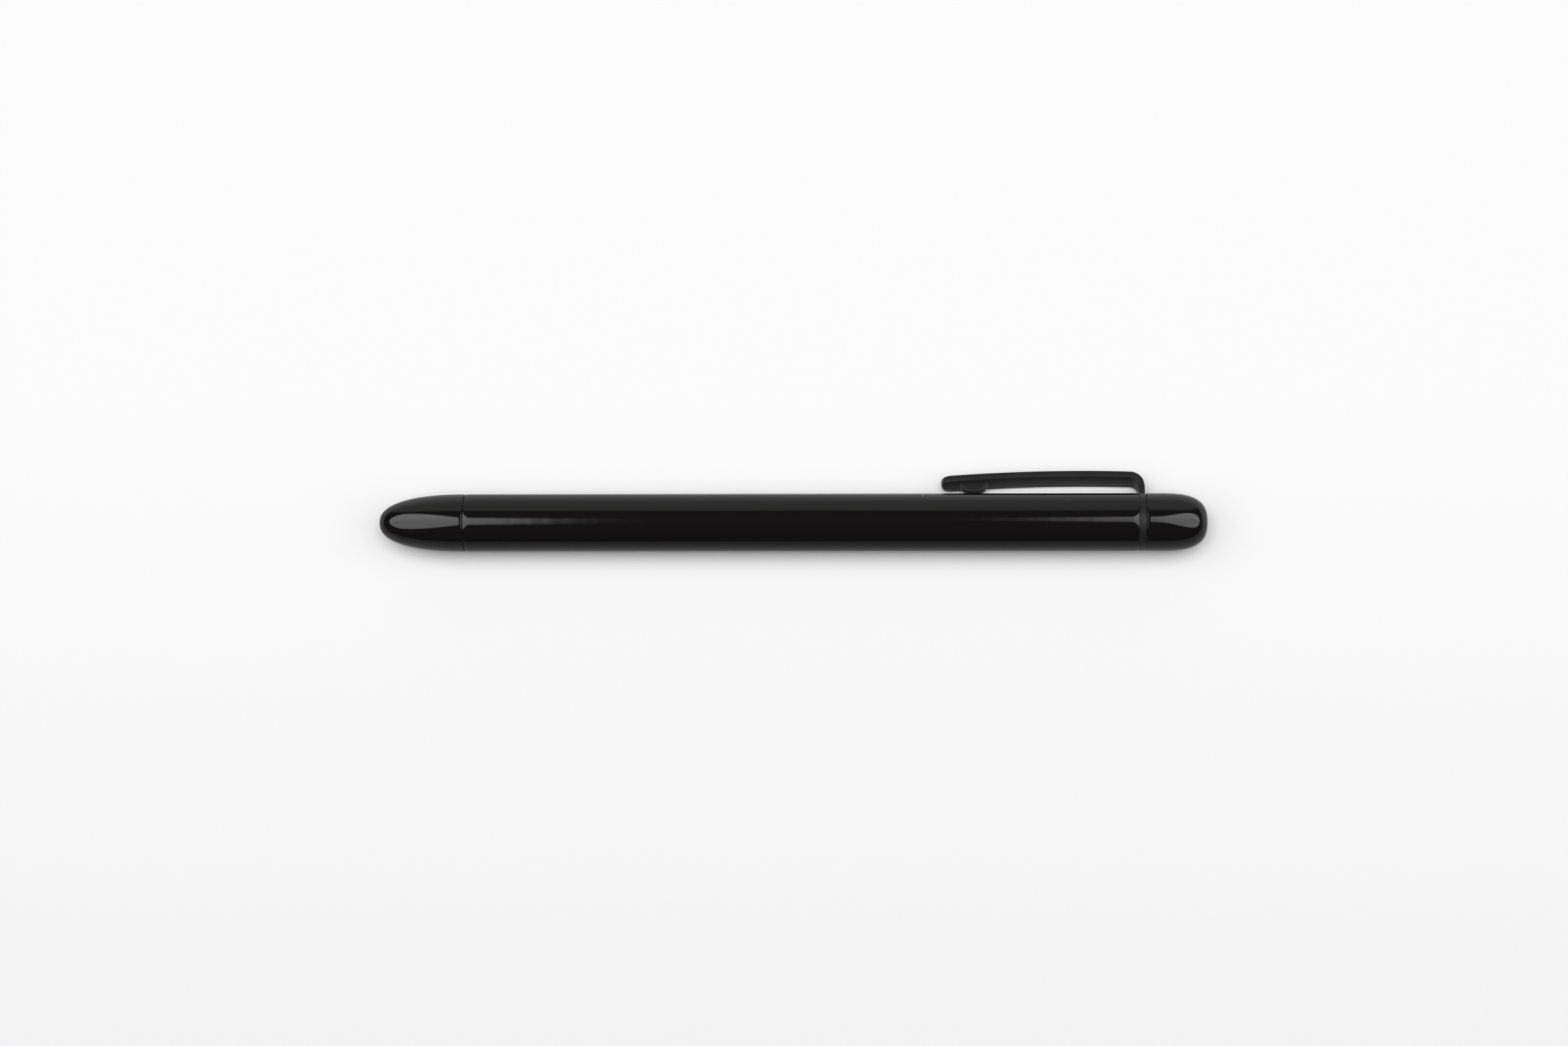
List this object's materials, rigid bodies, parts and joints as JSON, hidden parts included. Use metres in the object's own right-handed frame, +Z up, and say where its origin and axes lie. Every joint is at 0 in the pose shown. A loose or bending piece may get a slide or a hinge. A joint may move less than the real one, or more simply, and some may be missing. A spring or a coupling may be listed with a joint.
{
  "type": "lens cleaning pen",
  "caption": "Slim round pen with a dust brush under a bullet nose cap, a tilting cleaning tip under a blunt rear dome, and a spring clip held by a thin ring behind the barrel.",
  "frame": {"origin": "middle of the underside of the box around the whole pen, on the table", "axes": "+X along the pen towards the blunt dome, +Y out to the clip's side, +Z up from the table"},
  "size_m": [0.1438, 0.0142, 0.01],
  "materials": {
    "lacquer": "gloss",
    "satin_black": "satin",
    "collar_black": "turned",
    "ferrule_metal": "satin",
    "bristle": "soft fibre",
    "resin": "cast",
    "spring_wire": "bright",
    "liner_plastic": "smooth",
    "rubber": "matte",
    "chamois": "napped",
    "foam": "open-cell foam"
  },
  "bodies": {
    "barrel": {"barrel": "lacquer", "front_collar": "collar_black", "brush_ferrule": "ferrule_metal", "brush_bristles": "bristle", "brush_plug": "resin", "rear_collar": "collar_black", "clip_ring": "satin_black", "clip_retainer": "collar_black", "tip_stem": "spring_wire"},
    "nose_cap_ring": {"nose_cap_snap_ring": "spring_wire"},
    "nose_cap": {"nose_cap": "lacquer", "nose_cap_liner": "liner_plastic"},
    "end_cap_ring": {"end_cap_snap_ring": "spring_wire"},
    "end_cap": {"end_cap": "lacquer", "end_cap_liner": "liner_plastic", "foam_cup": "liner_plastic", "carbon_foam": "foam"},
    "clip_arm": {"clip_arm": "satin_black", "clip_bump": "satin_black"},
    "tip_head": {"tip_head": "liner_plastic", "tip_backing": "rubber", "tip_pad": "chamois"}
  },
  "joints": [
    {"name": "nose_cap_pull", "type": "slide", "parent": "barrel", "child": "nose_cap_ring", "axis": [-1, 0, 0], "range_m": [0, 0.02]},
    {"name": "nose_cap_turn", "type": "hinge", "parent": "nose_cap_ring", "child": "nose_cap", "pos_m": [-0.06395, -0.00214, 0.005], "axis": [1, 0, 0], "continuous": true},
    {"name": "end_cap_pull", "type": "slide", "parent": "barrel", "child": "end_cap_ring", "axis": [1, 0, 0], "range_m": [0, 0.02]},
    {"name": "end_cap_turn", "type": "hinge", "parent": "end_cap_ring", "child": "end_cap", "pos_m": [0.06606, -0.00214, 0.005], "axis": [1, 0, 0], "continuous": true},
    {"name": "clip_flex", "type": "hinge", "parent": "barrel", "child": "clip_arm", "pos_m": [0.0607, 0.0028, 0.00308], "axis": [0, -0.3616, -0.9323], "range_deg": [-1, 5], "stiffness_Nm_per_rad": 0.15},
    {"name": "tip_tilt", "type": "hinge", "parent": "barrel", "child": "tip_head", "pos_m": [0.06595, -0.00214, 0.005], "axis": [0, -0.3616, -0.9323], "range_deg": [-8, 8], "stiffness_Nm_per_rad": 0.02}
  ]
}
